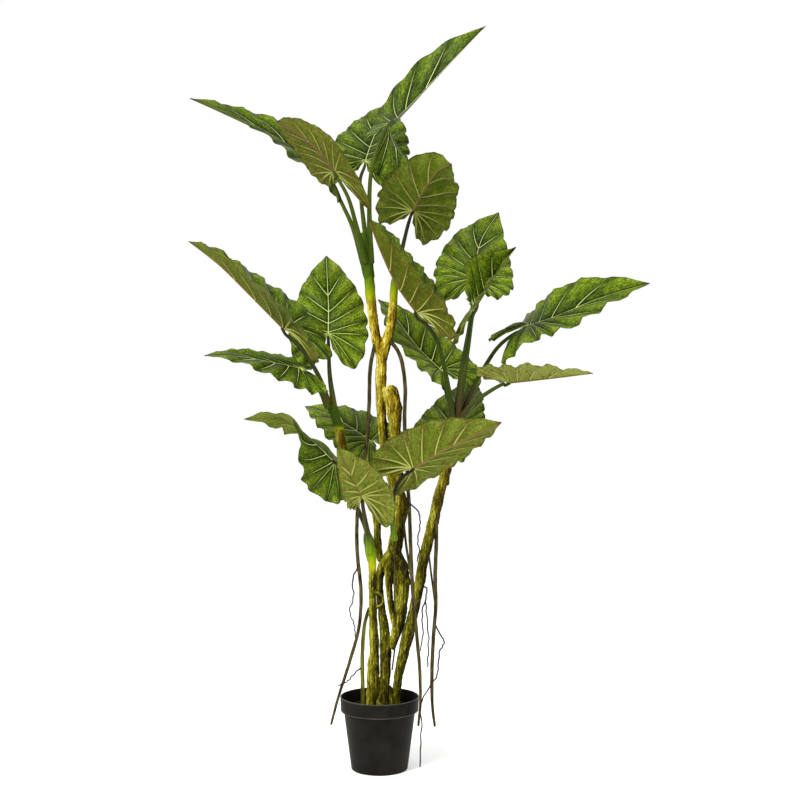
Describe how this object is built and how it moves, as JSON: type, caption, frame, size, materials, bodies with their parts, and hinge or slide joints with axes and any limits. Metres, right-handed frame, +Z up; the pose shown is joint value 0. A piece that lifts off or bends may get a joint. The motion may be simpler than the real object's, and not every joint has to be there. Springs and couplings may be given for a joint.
{
  "type": "potted colocasia",
  "caption": "Tall potted colocasia: heart-shaped leaves on long stalks, forked leaning woody stems with hanging aerial roots, in a round black nursery pot with its fill.",
  "frame": {"origin": "centre of the pot's underside, on the pot's axis", "axes": "+Z up along the pot's axis, -Y towards the front, +X to the right seen from the front"},
  "size_m": [1.1119, 0.5972, 1.7839],
  "materials": {
    "blade": "satin leaf, green above with pale veins, olive with brown streaks beneath",
    "stalk": "smooth satin green stalk, browner and yellower towards its foot",
    "stem": "matt knobbly stem in mossy yellow green with brown streaks",
    "root": "matt dark grey brown aerial root",
    "pot": "matt black moulded plastic",
    "fill": "dark rough fill"
  },
  "bodies": {
    "root": {"stem_centre": "stem", "stem_side": "stem", "stem_left": "stem", "stem_right": "stem", "root_left": "root", "root_centre": "root", "root_right": "root", "root_prop": "root", "pot": "pot", "fill": "fill", "leaf_blade_top_left": "blade", "leaf_stalk_top_left": "stalk", "leaf_blade_top_left_front": "blade", "leaf_stalk_top_left_front": "stalk", "leaf_blade_crown": "blade", "leaf_stalk_crown": "stalk", "leaf_blade_top_right": "blade", "leaf_stalk_top_right": "stalk", "leaf_blade_upper_centre": "blade", "leaf_stalk_upper_centre": "stalk", "leaf_blade_centre_folded": "blade", "leaf_stalk_centre_folded": "stalk", "leaf_blade_right_upright": "blade", "leaf_stalk_right_upright": "stalk", "leaf_blade_right_cupped": "blade", "leaf_stalk_right_cupped": "stalk", "leaf_blade_far_right": "blade", "leaf_stalk_far_right": "stalk", "leaf_blade_right_level": "blade", "leaf_stalk_right_level": "stalk", "leaf_blade_behind_centre": "blade", "leaf_stalk_behind_centre": "stalk", "leaf_blade_behind_right": "blade", "leaf_stalk_behind_right": "stalk", "leaf_blade_front_right": "blade", "leaf_stalk_front_right": "stalk", "leaf_blade_front_centre": "blade", "leaf_stalk_front_centre": "stalk", "leaf_blade_lower_left": "blade", "leaf_stalk_lower_left": "stalk", "leaf_blade_behind_left": "blade", "leaf_stalk_behind_left": "stalk", "leaf_blade_left_level": "blade", "leaf_stalk_left_level": "stalk", "leaf_blade_upper_left": "blade", "leaf_stalk_upper_left": "stalk", "leaf_blade_heart_left": "blade", "leaf_stalk_heart_left": "stalk"}
  },
  "joints": []
}
